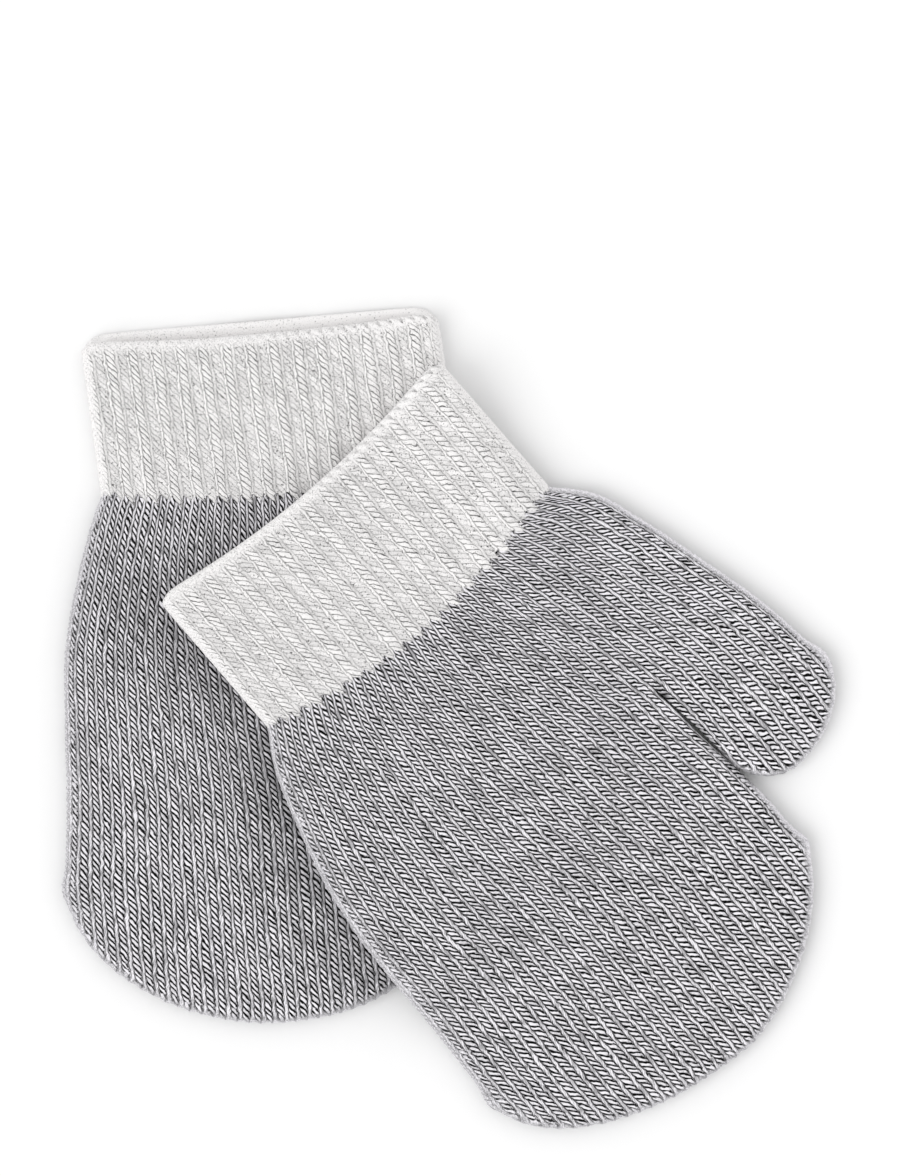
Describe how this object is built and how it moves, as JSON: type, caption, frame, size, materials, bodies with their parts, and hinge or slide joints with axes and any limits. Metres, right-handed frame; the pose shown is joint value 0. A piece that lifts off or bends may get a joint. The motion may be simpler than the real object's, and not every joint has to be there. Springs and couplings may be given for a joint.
{
  "type": "pair of mittens",
  "caption": "Pair of small child's knitted mittens laid flat and overlapping: plain knit hands with a side thumb and a ribbed cuff, closed round at fingers and thumb.",
  "frame": {"origin": "on the surface that the pair lies on, under the middle of its bounding box", "axes": "+Z up; +Y is up in the view from above, towards the two cuffs; +X is to the right in that view"},
  "size_m": [0.1384, 0.1474, 0.0107],
  "materials": {
    "knit_grey": "soft matt plain knit in a mid grey melange yarn",
    "knit_white": "soft matt ribbed knit in an off-white melange yarn"
  },
  "bodies": {
    "root": {"under_cuff": "knit_white", "under_hand": "knit_grey", "under_thumb": "knit_grey", "over_cuff": "knit_white", "over_hand": "knit_grey", "over_thumb": "knit_grey"}
  },
  "joints": []
}
